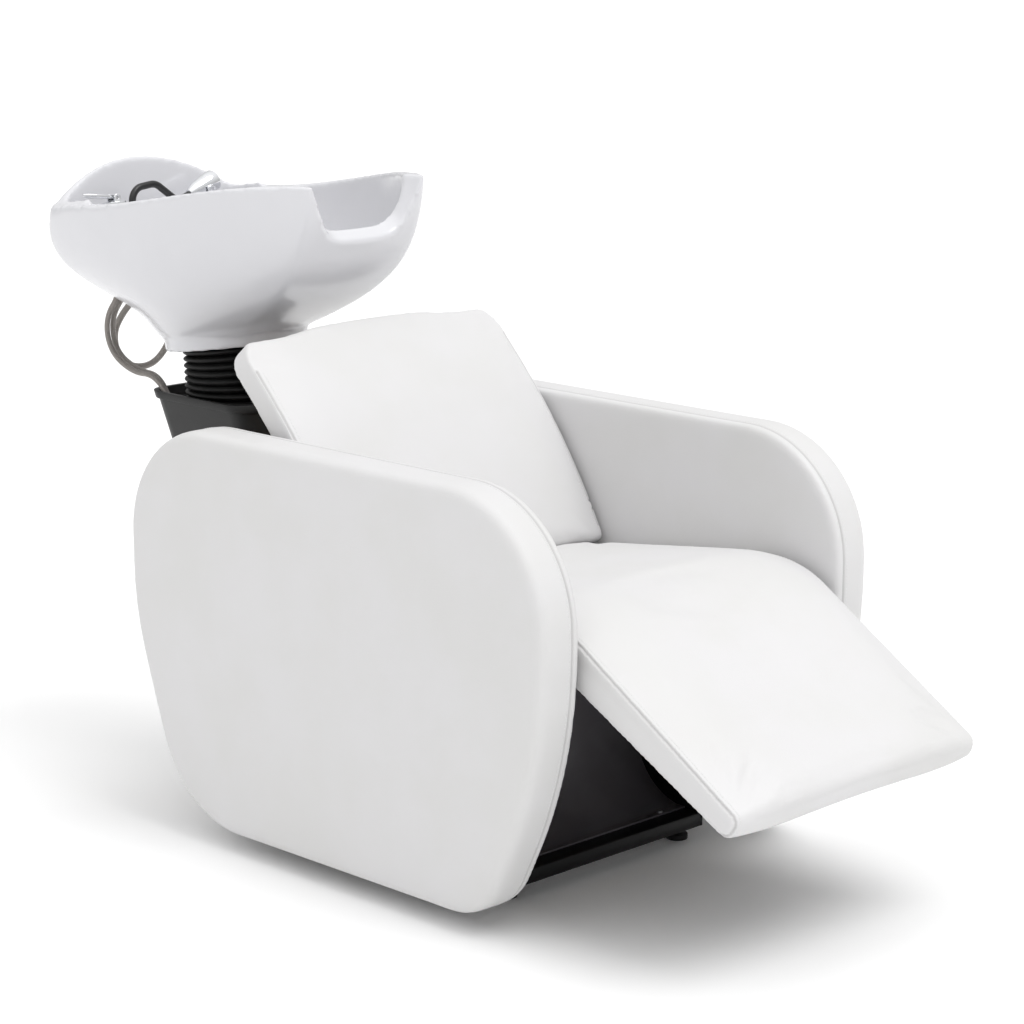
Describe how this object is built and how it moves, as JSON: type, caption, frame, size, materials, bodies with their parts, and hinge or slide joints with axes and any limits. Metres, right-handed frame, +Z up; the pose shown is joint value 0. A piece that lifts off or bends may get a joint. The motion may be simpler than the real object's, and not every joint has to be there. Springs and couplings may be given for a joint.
{
  "type": "hair washing bed",
  "caption": "Salon backwash unit: padded armchair with a hinged leg rest and a tilting ceramic wash basin on a raked column.",
  "frame": {"origin": "on the floor, at the middle of the four levelling feet, which is the middle of the object's outline to within 1 cm", "axes": "+Z up, the sitter faces -Y, +Y runs back to the basin, +X is the sitter's left"},
  "size_m": [0.708, 1.6104, 1.0009],
  "materials": {
    "upholstery": "smooth white coated upholstery with a soft sheen",
    "board": "raw plywood",
    "under_cloth": "black lining cloth on a thin panel",
    "black_steel": "black powder coat",
    "dark_cover": "satin dark grey paint",
    "grey_shroud": "moulded dark grey plastic",
    "bright_steel": "zinc plated",
    "black_rubber": "soft black rubber",
    "ceramic": "white glaze",
    "chrome": "polished chrome",
    "brass": "plain brass",
    "black_plastic": "black, slightly glossy",
    "hose_braid": "braided steel sleeve, grey brown"
  },
  "bodies": {
    "base": {"arm_boards": "board", "arm_bolts": "bright_steel", "arm_inner_pad_left": "upholstery", "arm_inner_pad_right": "upholstery", "arm_outer_pad_left": "upholstery", "arm_outer_pad_right": "upholstery", "arm_standoffs": "black_steel", "back_bolts": "bright_steel", "backrest_board": "board", "backrest_brackets": "black_steel", "backrest_cushion": "upholstery", "bellows": "black_rubber", "column_bolts": "bright_steel", "column_post": "black_steel", "column_shroud": "grey_shroud", "end_beams": "black_steel", "foot_plate": "black_steel", "frame_screws": "bright_steel", "front_cover": "dark_cover", "head_plate": "black_steel", "hinge_pins": "bright_steel", "hinge_washers": "bright_steel", "hose_shelf": "black_steel", "hose_unions": "brass", "knee_cushion": "upholstery", "levelling_feet": "black_rubber", "middle_beam": "black_steel", "seat_board": "board", "seat_crossbars": "black_steel", "seat_cushion": "upholstery", "seat_hinge_brackets": "black_steel", "side_plates": "black_steel", "side_rails": "black_steel", "supply_hose_far": "hose_braid", "supply_hose_near": "hose_braid", "tilt_pin": "bright_steel", "tilt_yoke": "black_steel", "waste_coupler": "black_rubber", "waste_pipe": "black_plastic"},
    "legrest": {"leg_cushion": "upholstery", "leg_board": "board", "leg_under_panel": "under_cloth", "leg_hinge_brackets": "black_steel"},
    "basin": {"basin": "ceramic", "basin_cradle": "black_steel", "cradle_bolts": "bright_steel", "drain_body": "chrome", "drain_nut": "black_plastic", "drain_strainer": "chrome", "mixer_body": "chrome", "mixer_nut": "brass", "outlet_tee": "brass", "hose_grommet": "chrome", "shower_holder": "chrome", "shower_hose": "hose_braid"},
    "mixer_cap": {"mixer_cap": "chrome", "lever_pin": "bright_steel"},
    "mixer_lever": {"mixer_lever": "chrome"},
    "handset": {"handset_tube": "black_plastic", "handset_head": "chrome"}
  },
  "joints": [
    {"name": "leg_rest", "type": "hinge", "parent": "base", "child": "legrest", "pos_m": [0, -0.43419, 0.38481], "axis": [1, 0, 0], "range_deg": [-32.5, 30], "deforming": ["knee_cushion"]},
    {"name": "basin_tilt", "type": "hinge", "parent": "base", "child": "basin", "pos_m": [0, 0.533, 0.668], "axis": [1, 0, 0], "range_deg": [-6, 10], "deforming": ["bellows", "waste_coupler", "supply_hose_far", "supply_hose_near"]},
    {"name": "mixer_turn", "type": "hinge", "parent": "basin", "child": "mixer_cap", "pos_m": [-0.1, 0.72786, 0.9264], "axis": [0, 0.1392, 0.9903], "range_deg": [-15, 60]},
    {"name": "mixer_lift", "type": "hinge", "parent": "mixer_cap", "child": "mixer_lever", "pos_m": [-0.1, 0.72988, 0.94076], "axis": [0, 0.9903, -0.1392], "range_deg": [0, 25]},
    {"name": "handset_lift", "type": "slide", "parent": "basin", "child": "handset", "axis": [0, 0.1392, 0.9903], "range_m": [0, 0.05], "deforming": ["shower_hose"]}
  ]
}
